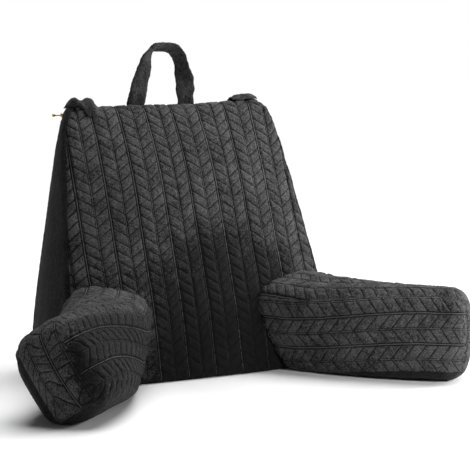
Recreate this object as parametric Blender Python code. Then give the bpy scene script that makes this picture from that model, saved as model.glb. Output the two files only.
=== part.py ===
"""Backrest pillow with two arms, a carry handle, shoulder tabs and a side pocket.

Metres, +Z up, the front of the pillow towards -Y, the sitter's side. The pillow
stands on its flat underside, z = 0.
"""
import bpy
import bmesh
from math import atan2, ceil, copysign, cos, floor, pi, radians, sin, sqrt
from mathutils import Matrix, Vector

# Backrest: a wedge, leaned back in front and nearly upright behind
HEIGHT = 0.500
FRONT_Y_FLOOR = -0.160
FRONT_Y_TOP = 0.004
TOP_ROUND = 0.027
BACK_Y_FLOOR = 0.066
BACK_Y_TOP = 0.060
BACK_Z_TOP = 0.470
BODY_CENTRE_X = 0.008
HALF_WIDTH_TOP = 0.212
HALF_WIDTH_GROWTH = 0.125
HALF_WIDTH_BOW = 0.009
BACK_INSET = 0.012
FRONT_CROWN = 0.024
FRONT_CROWN_POWER = 2.6
CROWN_AT_FLOOR = 0.55
CROWN_RUN = 0.16
BACK_CROWN = 0.022
BACK_CROWN_RUN = 0.14
BACK_CROWN_AT_TOP = 0.3
SIDE_CROWN = 0.120
SIDE_CROWN_RUN = 0.09
TURN_RUN = 0.10
TURN_PAST = 0.01
SHOULDER_ROUND = 0.020
RIGHT_SHOULDER_LIFT = 0.005
LEFT_SHOULDER_LIFT = -0.002
SHOULDER_FROM = 0.05
SHOULDER_TO = 0.16
SHOULDER_RUN = 0.04
SOLE_INSET = 0.010
SOLE_ROUND = 0.020
SIDE_STEPS = 5
BACK_STEPS = 10

# Plaited quilting of the front: leaves on both sides of stitched spines
SPINE_PITCH = 0.056
SPINE_OFFSET = 0.010
LEAF_ROW = 0.0205
LEAF_RISE = 0.0195
SPINE_DEPTH = 0.0032
LEAF_DEPTH = 0.0026
WEAK_DEPTH = 0.0018
GROOVE_HALF = 0.0050
QUILT_FADE = 0.045
QUILT_FROM = 0.02
QUILT_TOP_FADE = 0.03
QUILT_SIDE_FADE = 0.012
BEND_FADE = 0.04
BEND_TOP_FADE = 0.05
BEND_TOP_FLAT = 0.005
BEND_SIDE_FADE = 0.03
EDGE_CLEARANCE = 0.4

# Arms: puffy lobes that swing outward from the lower front corners
ARM_HALF_WIDTH = 0.071
ARM_HALF_HEIGHT = 0.087
ARM_SQUARENESS = 3.4
ARM_ROOT = Vector((0.214, -0.158, 0.084))
ARM_LENGTH = 0.276
ARM_START_TURN = radians(25.5)
ARM_END_TURN = radians(49)
ARM_NECK = 1.04
ARM_ROOT_SPREAD = 1.14
ARM_SPREAD_END = 0.6
ARM_NECK_END = 0.75
ARM_ROLL_END = 0.9
ARM_AXIS_STEPS = 24
ARM_PRESS_FROM = 0.01
ARM_PRESS_FULL = 0.04
ARM_BEND_FADE = 0.03
ARM_QUILT = 0.75
ARM_NOSE = 0.044
ARM_NOSE_TURN = radians(58)
ARM_NOSE_SHRINK = 0.62
ARM_FACE_CROWN = 0.010
ARM_RINGS = 21
ARM_NOSE_RINGS = 5
ARM_ACROSS_STEPS = 10
ARM_UP_STEPS = 12
ROOT_CAP_RINGS = 4
ROOT_BLEND_RINGS = 5
ROOT_ROLL = radians(-12)
LEFT_ROLL = radians(33)
RIGHT_ROLL = radians(8)
SEAM_GAP = 0.0005
SEAM_SEARCH_ROUNDS = 12
ROOT_MARGIN = 0.026
ROOT_FADE = 1.22

# Part of an arm's section where the plain cloth gives way to the quilted, -1 to 1
OUTER_PLAIN_TO = -0.97
OUTER_QUILT_FROM = -0.80
UNDER_PLAIN_TO = -0.95
UNDER_QUILT_FROM = -0.60
FACE_QUILT_TO = 0.75
FACE_BEND = 0.5

# Carry handle: a soft strap, flat at its sewn feet and turned at the arch
HANDLE_CENTRE_X = 0.014
HANDLE_HALF_SPAN = 0.0545
HANDLE_TOP = 0.601
HANDLE_FOOT_Z = 0.437
HANDLE_FREE_Z = 0.500
HANDLE_FREE_Y = 0.064
HANDLE_LEAN = 0.012
HANDLE_WIDTH = 0.037
HANDLE_THICK = 0.0070
HANDLE_TWIST = radians(66)
HANDLE_STEPS = 44
HANDLE_SQUARENESS = 0.55
HANDLE_FULLNESS = 0.85
HANDLE_LEAN_BAND = (0.35, 0.85)
HANDLE_SEWN_BELOW = 0.03
HANDLE_FREE_ABOVE = 0.02
LEFT_TWIST_BAND = (0.14, 0.46)
RIGHT_TWIST_BAND = (0.09, 0.28)
HANDLE_END_TAPER = (0.72, 0.93, 1.0)
HANDLE_END_NARROWING = 0.1
HANDLE_LOOK = 0.01
STRAP_SIDES = 10
STRAP_WIDE_ROUND = 0.5
STRAP_THICK_ROUND = 0.7

# Shoulder tabs: folded strap ends that lie on the top edge
TAB_GAP = 0.0010
TAB_THICK = 0.0060
TAB_EDGE = 0.0022
TAB_BEHIND = 0.024
TAB_BEFORE = 0.012
TAB_TAIL = 0.040
LEFT_TAB_SPAN = (-0.194, -0.140)
LEFT_TAIL_FROM = -0.170
RIGHT_TAB_SPAN = (0.148, 0.208)
TAB_ACROSS_STEPS = 14
TAB_OVER_STEPS = 10
TAB_TAIL_BEND = 0.006
TAB_TAIL_FULLNESS = 1.6
TAB_FULL_BAND = (0.022, 0.004)

# Pocket on the outer side of the left arm, counted in steps of the arm's grid
POCKET_RINGS = (6, 20)
POCKET_STEPS = (3, 8)
POCKET_THICK = 0.0026
POCKET_GAPE = 0.014
POCKET_GAPE_ALONG = 0.6
POCKET_GAPE_UP = 1.5
POCKET_LOOK = 0.02

# Zip slider with its pull, at the upper left back seam; (length out, radius)
ZIP_HEIGHT = 0.475
ZIP_DEPTH = 0.60
ZIP_STAND = 0.0068
ZIP_SEGMENTS = 16
ZIP_FRONT_SHARE = 0.97
ZIP_PROFILE = (
    (0.0, 0.0030), (0.0004, 0.0040), (0.0034, 0.0040), (0.0040, 0.0032),
    (0.0044, 0.0012), (0.0150, 0.0011), (0.0158, 0.0018), (0.0170, 0.0026),
    (0.0186, 0.0029), (0.0202, 0.0026), (0.0214, 0.0014),
)


def smooth(edge0, edge1, value):
    """Soft step from 0 at edge0 to 1 at edge1."""
    t = max(0.0, min(1.0, (value - edge0) / (edge1 - edge0)))
    return t * t * (3.0 - 2.0 * t)


def lerp(a, b, t):
    return a + (b - a) * t


def half_width(z):
    bow = HALF_WIDTH_BOW * (1.0 - (2.0 * z / HEIGHT - 1.0) ** 4)
    return HALF_WIDTH_TOP + HALF_WIDTH_GROWTH * (HEIGHT - z) + bow


# The front panel is measured along its profile: up the leaned face, over the
# rounded top and down to the back seam.
LEAN = atan2(FRONT_Y_TOP - FRONT_Y_FLOOR, HEIGHT - TOP_ROUND)
ROUND_TURN = radians(160) - LEAN
FACE_TOP_Z = HEIGHT - TOP_ROUND * (1.0 - sin(LEAN))
FACE_LENGTH = FACE_TOP_Z / cos(LEAN)
FRONT_LENGTH = FACE_LENGTH + TOP_ROUND * ROUND_TURN
RIDGE = FACE_LENGTH + TOP_ROUND * (radians(90) - LEAN)


def profile(s):
    """Point (y, z) and outward turn of the front profile at length s."""
    if s <= FACE_LENGTH:
        return FRONT_Y_FLOOR + s * sin(LEAN), s * cos(LEAN), LEAN
    turn = LEAN + (s - FACE_LENGTH) / TOP_ROUND
    start_y = FRONT_Y_FLOOR + FACE_LENGTH * sin(LEAN)
    centre_y = start_y + TOP_ROUND * cos(LEAN)
    centre_z = HEIGHT - TOP_ROUND
    return centre_y - TOP_ROUND * cos(turn), centre_z + TOP_ROUND * sin(turn), turn


def front_half_width(s):
    z = min(profile(s)[1], HEIGHT)
    over = smooth(FACE_LENGTH - 1.5 * SHOULDER_ROUND, FRONT_LENGTH, s)
    return half_width(z) - SHOULDER_ROUND * over


def front_crown(x, s):
    across = min(1.0, abs(x - BODY_CENTRE_X) / front_half_width(s))
    fullness = 1.0 - across ** FRONT_CROWN_POWER
    low = lerp(CROWN_AT_FLOOR, 1.0, smooth(0.0, CROWN_RUN, s))
    high = 1.0 - smooth(FACE_LENGTH - CROWN_RUN, RIDGE, s)
    return FRONT_CROWN * fullness * low * high


def sole_inset(z):
    """How far the bottom edge is drawn in, at height z."""
    t = max(0.0, 1.0 - z / SOLE_ROUND)
    return SOLE_INSET * (1.0 - sqrt(1.0 - t * t))


def front_envelope(x, s):
    """Point and outward turn of the full front panel, before it is quilted."""
    y, z, turn = profile(s)
    crown = front_crown(x, s)
    outward = turn * smooth(FACE_LENGTH - TURN_RUN, FACE_LENGTH + TURN_PAST, s)
    shoulder = RIGHT_SHOULDER_LIFT if x > BODY_CENTRE_X else LEFT_SHOULDER_LIFT
    from_middle = smooth(SHOULDER_FROM, SHOULDER_TO, abs(x - BODY_CENTRE_X))
    lift = shoulder * from_middle * smooth(FACE_LENGTH - SHOULDER_RUN, FACE_LENGTH, s)
    y += sole_inset(z) - crown * cos(outward)
    z += crown * sin(outward) + lift
    return Vector((x, y, z)), outward


def front_y(x, z):
    """Front face of the backrest at height z, as if its bottom edge were square."""
    return front_envelope(x, z / cos(LEAN))[0].y - sole_inset(z)


def spine_phase(across):
    """0 on a strong spine, 1 on the weak line midway to the next."""
    turns = (across - SPINE_OFFSET) / SPINE_PITCH
    return abs(turns - floor(turns + 0.5)) * 2.0


def groove(distance, depth):
    if distance >= GROOVE_HALF:
        return 0.0
    return depth * (0.5 + 0.5 * cos(pi * distance / GROOVE_HALF))


def quilt_depth(across, along):
    """Depth pressed in by the stitching of the plaited leaves."""
    phase = spine_phase(across)
    column = SPINE_PITCH / 2.0
    row = (along + LEAF_RISE * phase) / LEAF_ROW
    row_distance = abs(row - floor(row + 0.5)) * LEAF_ROW
    leaf = groove(row_distance, LEAF_DEPTH)
    spine = groove(phase * column, SPINE_DEPTH)
    weak = groove((1.0 - phase) * column, WEAK_DEPTH)
    return max(leaf, spine, weak)


def leaf_bend(across):
    """Shift of a mesh row that makes it run along the slanted leaves."""
    return LEAF_RISE * (0.5 - spine_phase(across))


def arm_root_mask(x, z):
    """0 where an arm is sewn on, so the panel is flat behind the seam."""
    dx = (abs(x) - ARM_ROOT.x) / (ARM_HALF_WIDTH * ARM_ROOT_SPREAD + ROOT_MARGIN)
    dz = (z - ARM_ROOT.z) / (ARM_HALF_HEIGHT + ROOT_MARGIN)
    return smooth(1.0, ROOT_FADE, sqrt(sqrt(dx ** 4 + dz ** 4)))


def front_point(x, s, margin):
    """Quilted point of the front, margin away from the side seam."""
    point, outward = front_envelope(x, s)
    low = smooth(QUILT_FROM, QUILT_FROM + QUILT_FADE, s)
    high = 1.0 - smooth(FRONT_LENGTH - QUILT_TOP_FADE, FRONT_LENGTH, s)
    mask = low * high * smooth(0.0, QUILT_SIDE_FADE, margin) * arm_root_mask(x, point.z)
    press = quilt_depth(x, s) * mask
    point.y += press * cos(outward)
    point.z -= press * sin(outward)
    return point


def stitch(bm, low, high):
    """Fill between two rows of points that run the same way."""
    i = 0
    j = 0
    while i < len(low) - 1 or j < len(high) - 1:
        can_low = i < len(low) - 1
        can_high = j < len(high) - 1
        if can_low and (not can_high or low[i + 1].co.x <= high[j + 1].co.x):
            corners = (low[i], low[i + 1], high[j])
            i += 1
        else:
            corners = (low[i], high[j + 1], high[j])
            j += 1
        if len(set(corners)) == len(corners):
            bm.faces.new(corners)


def front_row(bm, s):
    """One row of the front panel, bent to follow the leaves."""
    high = smooth(FRONT_LENGTH - BEND_TOP_FADE, FRONT_LENGTH - BEND_TOP_FLAT, s)
    ends = smooth(0.0, BEND_FADE, s) * (1.0 - high)
    edge = front_half_width(s)
    left = BODY_CENTRE_X - edge
    right = BODY_CENTRE_X + edge
    step = SPINE_PITCH / 4.0
    first = ceil((left - SPINE_OFFSET) / step + EDGE_CLEARANCE)
    last = floor((right - SPINE_OFFSET) / step - EDGE_CLEARANCE)
    row = [front_envelope(left, s)[0]]
    for k in range(first, last + 1):
        x = SPINE_OFFSET + step * k
        margin = edge - abs(x - BODY_CENTRE_X)
        bend = leaf_bend(x) * ends * smooth(0.0, BEND_SIDE_FADE, margin)
        row.append(front_point(x, s + bend, margin))
    row.append(front_envelope(right, s)[0])
    return [bm.verts.new(p) for p in row]


def back_seam(s):
    """Back corner (half width, y, z) that goes with a front row."""
    t = s / FRONT_LENGTH
    z = BACK_Z_TOP * t
    inset = BACK_INSET * smooth(0.0, 0.1, t) + SHOULDER_ROUND * smooth(0.93, 1.0, t)
    y = lerp(BACK_Y_FLOOR, BACK_Y_TOP, t) - sole_inset(z)
    return half_width(z) - inset, y, z


def side_point(s, t):
    """Point of the right side, t from the front seam (0) to the back seam (1)."""
    width, back_y, back_z = back_seam(s)
    start = front_envelope(BODY_CENTRE_X + front_half_width(s), s)[0]
    end = Vector((BODY_CENTRE_X + width - sole_inset(back_z), back_y, back_z))
    point = start.lerp(end, t)
    depth = max(back_y - start.y, 0.0)
    point.x += SIDE_CROWN * depth * smooth(0.0, SIDE_CROWN_RUN, s) * 4.0 * t * (1.0 - t)
    return point


def back_point(s, across):
    """Point of the back, across from the right seam (1) to the left seam (-1)."""
    width, back_y, back_z = back_seam(s)
    fullness = lerp(1.0, BACK_CROWN_AT_TOP, smooth(FRONT_LENGTH - BACK_CROWN_RUN, FRONT_LENGTH, s))
    crown = BACK_CROWN * smooth(0.0, BACK_CROWN_RUN, s) * fullness * (1.0 - across * across)
    x = BODY_CENTRE_X + (width - sole_inset(back_z)) * across
    return Vector((x, back_y + crown, back_z))


def mirrored(point):
    return Vector((2.0 * BODY_CENTRE_X - point.x, point.y, point.z))


def rest_row(bm, s):
    """Right side, back and left side of a ring, without the front seams."""
    right = [side_point(s, k / SIDE_STEPS) for k in range(1, SIDE_STEPS + 1)]
    back = [back_point(s, 1.0 - 2.0 * k / BACK_STEPS) for k in range(1, BACK_STEPS)]
    left = [mirrored(p) for p in reversed(right)]
    return [bm.verts.new(p) for p in right + back + left]


def build_backrest():
    bm = bmesh.new()
    rows = ceil(FRONT_LENGTH / (LEAF_ROW / 2.0))
    levels = [0.0, SOLE_ROUND / 4.0]
    levels += [LEAF_ROW / 2.0 * k for k in range(1, rows)]
    levels.append(FRONT_LENGTH)
    fronts = [front_row(bm, s) for s in levels]
    rests = [rest_row(bm, s) for s in levels]
    for v in fronts[0]:
        v.co.z = 0.0
    for k in range(len(levels) - 1):
        stitch(bm, fronts[k], fronts[k + 1])
        low = [fronts[k][-1]] + rests[k] + [fronts[k][0]]
        high = [fronts[k + 1][-1]] + rests[k + 1] + [fronts[k + 1][0]]
        for i in range(len(low) - 1):
            bm.faces.new((low[i], low[i + 1], high[i + 1], high[i]))
    bm.faces.new(list(reversed(fronts[0] + rests[0])))
    top = fronts[-1]
    stitch(bm, top, [top[0]] + list(reversed(rests[-1])) + [top[-1]])
    return bm


def arm_axis(t, side):
    """Centre point, heading and roll of an arm at t, 0 at the seam to 1."""
    steps = ARM_AXIS_STEPS
    x = ARM_ROOT.x
    y = ARM_ROOT.y
    for k in range(steps):
        turn = lerp(ARM_START_TURN, ARM_END_TURN, smooth(0.0, 1.0, t * (k + 0.5) / steps))
        x += sin(turn) * ARM_LENGTH * t / steps
        y -= cos(turn) * ARM_LENGTH * t / steps
    turn = lerp(ARM_START_TURN, ARM_END_TURN, smooth(0.0, 1.0, t))
    end_roll = LEFT_ROLL if side < 0 else RIGHT_ROLL
    roll = lerp(ROOT_ROLL, end_roll, smooth(0.0, ARM_ROLL_END, t))
    return Vector((side * x, y, ARM_ROOT.z)), Vector((side * sin(turn), -cos(turn), 0.0)), roll


def square_ring():
    """Edge of the unit square, from the outer lower corner up and over."""
    up = [-1.0 + 2.0 * k / ARM_UP_STEPS for k in range(ARM_UP_STEPS)]
    over = [-1.0 + 2.0 * k / ARM_ACROSS_STEPS for k in range(ARM_ACROSS_STEPS)]
    outer = [(-1.0, b) for b in up]
    top = [(a, 1.0) for a in over]
    inner = [(1.0, -b) for b in up]
    under = [(-a, -1.0) for a in over]
    return outer + top + inner + under


def section_offset(a, b):
    """Rounded square: a runs from the outer to the inner side, b upward."""
    reach = max(abs(a), abs(b), 1e-9)
    norm = (abs(a) ** ARM_SQUARENESS + abs(b) ** ARM_SQUARENESS) ** (1.0 / ARM_SQUARENESS)
    scale = reach / max(norm, 1e-9)
    return a * scale * ARM_HALF_WIDTH, b * scale * ARM_HALF_HEIGHT


def arm_point(t, a, b, side, size=1.0, reach=0.0):
    """Point of an arm: t along it, (a, b) on its section, reach past its axis."""
    centre, heading, roll = arm_axis(t, side)
    inward = Vector((heading.y, -heading.x, 0.0)) * side
    across, up = section_offset(a, b)
    across *= lerp(ARM_ROOT_SPREAD, 1.0, smooth(0.0, ARM_SPREAD_END, t))
    turned_across = across * cos(roll) - up * sin(roll)
    turned_up = across * sin(roll) + up * cos(roll)
    point = centre + inward * turned_across * size + heading * reach
    point.z = max(point.z + turned_up * size, 0.0)
    return point


def arm_size(t):
    return lerp(ARM_NECK, 1.0, smooth(0.0, ARM_NECK_END, t))


def arm_cloth(a, b):
    """Where (a, b) lies on the quilted cloth: across it, and how much it shows."""
    step = SPINE_PITCH / 4.0
    if abs(a) > abs(b):
        across = (ARM_ACROSS_STEPS + ARM_UP_STEPS * (1.0 - b)) / 2.0 * step
    else:
        across = a * ARM_ACROSS_STEPS / 2.0 * step
    shows = smooth(OUTER_PLAIN_TO, OUTER_QUILT_FROM, a) * smooth(UNDER_PLAIN_TO, UNDER_QUILT_FROM, b)
    return across + SPINE_OFFSET, shows


def seam_point(point, heading):
    """Slide a point along the arm until it meets the backrest's front face."""
    p = point.copy()
    for _ in range(SEAM_SEARCH_ROUNDS):
        p += heading * ((front_y(p.x, p.z) - SEAM_GAP - p.y) / heading.y)
    return p


def arm_ring(side, index, ring_points):
    """One ring along an arm, bent and pressed in like the quilted cloth."""
    t = index / ARM_RINGS
    along = t * ARM_LENGTH
    ring = []
    for a, b in ring_points:
        across, shows = arm_cloth(a, b)
        ends = smooth(0.0, ARM_BEND_FADE, along) * smooth(0.0, ARM_BEND_FADE, ARM_LENGTH - along)
        bent = along + leaf_bend(across) * shows * ends
        press = ARM_QUILT * quilt_depth(across, bent) * shows * smooth(ARM_PRESS_FROM, ARM_PRESS_FULL, along)
        size = arm_size(t) - press / ARM_HALF_WIDTH
        ring.append(arm_point(bent / ARM_LENGTH, a, b, side, size))
    return ring


def build_arm(side):
    bm = bmesh.new()
    ring_points = square_ring()
    root_heading = arm_axis(0.0, side)[1]
    rings = [arm_ring(side, k, ring_points) for k in range(ARM_RINGS + 1)]
    shifts = [seam_point(p, root_heading) - p for p in rings[0]]
    for k in range(ROOT_BLEND_RINGS):
        share = 1.0 - k / ROOT_BLEND_RINGS
        rings[k] = [p + shift * share for p, shift in zip(rings[k], shifts)]
    for k in range(1, ARM_NOSE_RINGS + 1):
        turn = ARM_NOSE_TURN * k / ARM_NOSE_RINGS
        reach = ARM_NOSE * sin(turn)
        size = 1.0 - ARM_NOSE_SHRINK * (1.0 - cos(turn))
        ring = []
        for a, b in ring_points:
            across, shows = arm_cloth(a, b)
            spine = ARM_QUILT * groove(spine_phase(across) * SPINE_PITCH / 2.0, SPINE_DEPTH) * shows
            ring.append(arm_point(1.0, a, b, side, size - spine / ARM_HALF_WIDTH, reach))
        rings.append(ring)
    verts = [[bm.verts.new(p) for p in ring] for ring in rings]
    for low, high in zip(verts, verts[1:]):
        for i in range(len(low)):
            j = (i + 1) % len(low)
            bm.faces.new((low[i], high[i], high[j], low[j]))
    close_face(bm, verts[-1], side, size, reach)
    close_root(bm, verts[0], root_heading)
    bmesh.ops.recalc_face_normals(bm, faces=bm.faces)
    return bm


def close_face(bm, ring, side, size, reach):
    """Front face of an arm, a slightly domed grid inside its last ring."""
    n = ARM_ACROSS_STEPS
    m = ARM_UP_STEPS
    grid = {}
    for i in range(1, n):
        for j in range(1, m):
            a = -1.0 + 2.0 * i / n
            b = -1.0 + 2.0 * j / m
            across = a * n / 2.0 * SPINE_PITCH / 4.0 + SPINE_OFFSET
            inside = smooth(1.0, FACE_QUILT_TO, max(abs(a), abs(b)))
            bent = b + leaf_bend(across) / ARM_HALF_HEIGHT * inside * FACE_BEND
            dome = ARM_FACE_CROWN * (1.0 - max(abs(a), abs(b)) ** 2)
            press = quilt_depth(across, -bent * m / 2.0 * SPINE_PITCH / 4.0) * inside
            grid[i, j] = bm.verts.new(arm_point(1.0, a, bent, side, size, reach + dome - press))
    for k in range(m):
        grid[0, k] = ring[k]
        grid[n, m - k] = ring[m + n + k]
    for k in range(n):
        grid[k, m] = ring[m + k]
        grid[n - k, 0] = ring[2 * m + n + k]
    for i in range(n):
        for j in range(m):
            bm.faces.new((grid[i, j], grid[i, j + 1], grid[i + 1, j + 1], grid[i + 1, j]))


def close_root(bm, ring, heading):
    """Back of an arm, shaped to the backrest's face it is sewn against."""
    centre = Vector((0.0, 0.0, 0.0))
    for v in ring:
        centre += v.co / len(ring)
    outer = ring
    for k in range(1, ROOT_CAP_RINGS):
        share = k / ROOT_CAP_RINGS
        inner = [bm.verts.new(seam_point(v.co.lerp(centre, share), heading)) for v in ring]
        for i in range(len(ring)):
            j = (i + 1) % len(ring)
            bm.faces.new((outer[i], outer[j], inner[j], inner[i]))
        outer = inner
    middle = bm.verts.new(seam_point(centre, heading))
    for i in range(len(ring)):
        bm.faces.new((outer[i], outer[(i + 1) % len(ring)], middle))


def close_strip(bm, rings):
    """Join rings of points into a closed strip with flat ends."""
    verts = [[bm.verts.new(p) for p in ring] for ring in rings]
    for low, high in zip(verts, verts[1:]):
        for i in range(len(low)):
            j = (i + 1) % len(low)
            bm.faces.new((low[i], low[j], high[j], high[i]))
    bm.faces.new(list(reversed(verts[0])))
    bm.faces.new(verts[-1])
    bmesh.ops.recalc_face_normals(bm, faces=bm.faces)


def strap_section():
    """Flat rounded outline of a stuffed strap, as shares of its half sizes."""
    points = []
    for k in range(STRAP_SIDES):
        c = cos(2.0 * pi * k / STRAP_SIDES)
        s = sin(2.0 * pi * k / STRAP_SIDES)
        wide = copysign(abs(c) ** STRAP_WIDE_ROUND, c)
        thick = copysign(abs(s) ** STRAP_THICK_ROUND, s)
        points.append((wide, thick))
    return points


def back_y_at(x, z):
    across = (x - BODY_CENTRE_X) / half_width(z)
    return back_point(z / BACK_Z_TOP * FRONT_LENGTH, across).y


def handle_point(t):
    """Centre line of the handle from the left foot over the arch."""
    angle = pi * t
    swing = copysign(abs(cos(angle)) ** HANDLE_SQUARENESS, cos(angle))
    rise = sin(angle) ** HANDLE_FULLNESS
    x = HANDLE_CENTRE_X - HANDLE_HALF_SPAN * swing
    if t < 0.5:
        x += HANDLE_LEAN * smooth(*HANDLE_LEAN_BAND, rise) * swing
    z = HANDLE_FOOT_Z + (HANDLE_TOP - HANDLE_FOOT_Z) * rise
    sewn_y = back_y_at(x, min(z, BACK_Z_TOP)) + SEAM_GAP + HANDLE_THICK / 2.0
    free = smooth(HANDLE_FREE_Z - HANDLE_SEWN_BELOW, HANDLE_FREE_Z + HANDLE_FREE_ABOVE, z)
    y = lerp(sewn_y, HANDLE_FREE_Y, free)
    return Vector((x, y, z))


def build_handle():
    bm = bmesh.new()
    rings = []
    for k in range(HANDLE_STEPS + 1):
        t = k / HANDLE_STEPS
        before = handle_point(max(t - HANDLE_LOOK, 0.0))
        after = handle_point(min(t + HANDLE_LOOK, 1.0))
        along = (after - before).normalized()
        flat = along.cross(Vector((0.0, 1.0, 0.0))).normalized()
        if t < 0.5:
            twist = HANDLE_TWIST * smooth(*LEFT_TWIST_BAND, t)
        else:
            twist = HANDLE_TWIST * smooth(*RIGHT_TWIST_BAND, 1.0 - t)
        across = Matrix.Rotation(twist, 3, along) @ flat
        normal = across.cross(along).normalized()
        taper = HANDLE_END_TAPER[min(k, HANDLE_STEPS - k, 2)]
        reach = across * HANDLE_WIDTH / 2.0 * (1.0 - HANDLE_END_NARROWING * (1.0 - taper))
        lift = normal * HANDLE_THICK / 2.0 * taper
        centre = handle_point(t)
        rings.append([centre + reach * a + lift * b for a, b in strap_section()])
    close_strip(bm, rings)
    return bm


def build_sheet(rows, gaps, thicks):
    """Closed sheet over a grid of (point, normal), with a gap below each point."""
    bm = bmesh.new()
    layers = []
    for top in (False, True):
        layer = []
        for i, row in enumerate(rows):
            line = []
            for j, (point, normal) in enumerate(row):
                height = gaps[i][j] + (thicks[i][j] if top else 0.0)
                line.append(bm.verts.new(point + normal * height))
            layer.append(line)
        layers.append(layer)
    under, over = layers
    n = len(rows) - 1
    m = len(rows[0]) - 1
    for i in range(n):
        for j in range(m):
            bm.faces.new((over[i][j], over[i + 1][j], over[i + 1][j + 1], over[i][j + 1]))
            bm.faces.new((under[i][j], under[i][j + 1], under[i + 1][j + 1], under[i + 1][j]))
    rim = [(i, 0) for i in range(n)] + [(n, j) for j in range(m)]
    rim += [(i, m) for i in range(n, 0, -1)] + [(0, j) for j in range(m, 0, -1)]
    for (i, j), (k, l) in zip(rim, rim[1:] + rim[:1]):
        bm.faces.new((under[i][j], under[k][l], over[k][l], over[i][j]))
    bmesh.ops.recalc_face_normals(bm, faces=bm.faces)
    return bm


def build_tab(span, tail_from):
    """Folded strap end on a shoulder; its tail hangs down in front of tail_from."""
    rows = []
    gaps = []
    thicks = []
    for i in range(TAB_ACROSS_STEPS + 1):
        u = i / TAB_ACROSS_STEPS
        x = lerp(span[0], span[1], u)
        before = TAB_BEFORE
        if tail_from is not None:
            before = lerp(TAB_BEFORE, TAB_TAIL, smooth(tail_from - TAB_TAIL_BEND, tail_from + TAB_TAIL_BEND, x))
        row = []
        gap_row = []
        thick_row = []
        for j in range(TAB_OVER_STEPS + 1):
            v = j / TAB_OVER_STEPS
            s = lerp(RIDGE - before, RIDGE + TAB_BEHIND, v)
            point, outward = front_envelope(x, s)
            row.append((point, Vector((0.0, -cos(outward), sin(outward)))))
            round_edge = (1.0 - abs(2.0 * u - 1.0) ** 4) * (1.0 - abs(2.0 * v - 1.0) ** 4)
            high = smooth(RIDGE - TAB_FULL_BAND[0], RIDGE - TAB_FULL_BAND[1], s)
            fullness = lerp(TAB_EDGE * TAB_TAIL_FULLNESS, TAB_THICK, high)
            gap_row.append(TAB_GAP)
            thick_row.append(lerp(TAB_EDGE, fullness, sqrt(max(round_edge, 0.0))))
        rows.append(row)
        gaps.append(gap_row)
        thicks.append(thick_row)
    return build_sheet(rows, gaps, thicks)


def build_pocket():
    """Open-topped pocket that stands a little off the left arm's outer side."""
    first, last = POCKET_RINGS
    low, high = POCKET_STEPS
    rows = []
    gaps = []
    thicks = []
    for k in range(first, last + 1):
        u = (k - first) / (last - first)
        row = []
        gap_row = []
        for j in range(low, high + 1):
            v = (j - low) / (high - low)
            t = k / ARM_RINGS
            b = -1.0 + 2.0 * j / ARM_UP_STEPS
            point = arm_point(t, -1.0, b, -1, arm_size(t))
            upward = arm_point(t, -1.0, b + POCKET_LOOK, -1, arm_size(t)) - point
            onward = arm_point(t + POCKET_LOOK, -1.0, b, -1, arm_size(t)) - point
            normal = onward.cross(upward).normalized()
            if normal.x > 0.0:
                normal = -normal
            row.append((point, normal))
            open_share = sin(pi * u) ** POCKET_GAPE_ALONG * v ** POCKET_GAPE_UP
            gap_row.append(SEAM_GAP + POCKET_GAPE * open_share)
        rows.append(row)
        gaps.append(gap_row)
        thicks.append([POCKET_THICK] * len(row))
    return build_sheet(rows, gaps, thicks)


def build_zip():
    """Turned slider and pull that stand straight out of the left side."""
    bm = bmesh.new()
    foot = mirrored(side_point(ZIP_HEIGHT / BACK_Z_TOP * FRONT_LENGTH * ZIP_FRONT_SHARE, ZIP_DEPTH))
    foot.x -= ZIP_STAND
    rings = []
    for out, radius in ZIP_PROFILE:
        ring = []
        for k in range(ZIP_SEGMENTS):
            angle = 2.0 * pi * k / ZIP_SEGMENTS
            ring.append(foot + Vector((-out, radius * cos(angle), radius * sin(angle))))
        rings.append(ring)
    close_strip(bm, rings)
    return bm


def add_object(name, bm, material):
    mesh = bpy.data.meshes.new(name)
    bm.to_mesh(mesh)
    bm.free()
    mesh.materials.append(material)
    for polygon in mesh.polygons:
        polygon.use_smooth = True
    obj = bpy.data.objects.new(name, mesh)
    bpy.context.scene.collection.objects.link(obj)


def make_material(name, colour, roughness, metallic=0.0):
    material = bpy.data.materials.new(name)
    material.use_nodes = True
    shader = material.node_tree.nodes["Principled BSDF"]
    shader.inputs["Base Color"].default_value = (*colour, 1.0)
    shader.inputs["Roughness"].default_value = roughness
    shader.inputs["Metallic"].default_value = metallic
    return material


def main():
    for obj in list(bpy.data.objects):
        bpy.data.objects.remove(obj)
    quilted = (0.040, 0.041, 0.043)
    plain = (0.022, 0.022, 0.024)
    brass = (0.62, 0.47, 0.20)
    add_object("backrest", build_backrest(), make_material("backrest_velour", quilted, 0.9))
    add_object("arm_left", build_arm(-1), make_material("arm_left_velour", quilted, 0.9))
    add_object("arm_right", build_arm(1), make_material("arm_right_velour", quilted, 0.9))
    add_object("handle", build_handle(), make_material("handle_velour", plain, 0.9))
    left_tab = build_tab(LEFT_TAB_SPAN, LEFT_TAIL_FROM)
    add_object("strap_tab_left", left_tab, make_material("left_tab_velour", plain, 0.9))
    right_tab = build_tab(RIGHT_TAB_SPAN, None)
    add_object("strap_tab_right", right_tab, make_material("right_tab_velour", plain, 0.9))
    add_object("arm_pocket", build_pocket(), make_material("pocket_velour", plain, 0.9))
    add_object("zip_slider", build_zip(), make_material("slider_brass", brass, 0.3, 1.0))


main()
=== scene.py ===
# %% [markdown]
# A quilted backrest pillow
#
# This lesson dresses the plain solids of a reading pillow in velour. The pillow is a
# leaned wedge with two short arms, a carry handle, two strap ends on the shoulders, a
# pocket on one arm and a small zip pull. Lengths are metres, +Z is up, and the sitter's
# side looks towards -Y.

# %% Load the solids
from math import atan2, cos, pi, radians, sin

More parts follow.
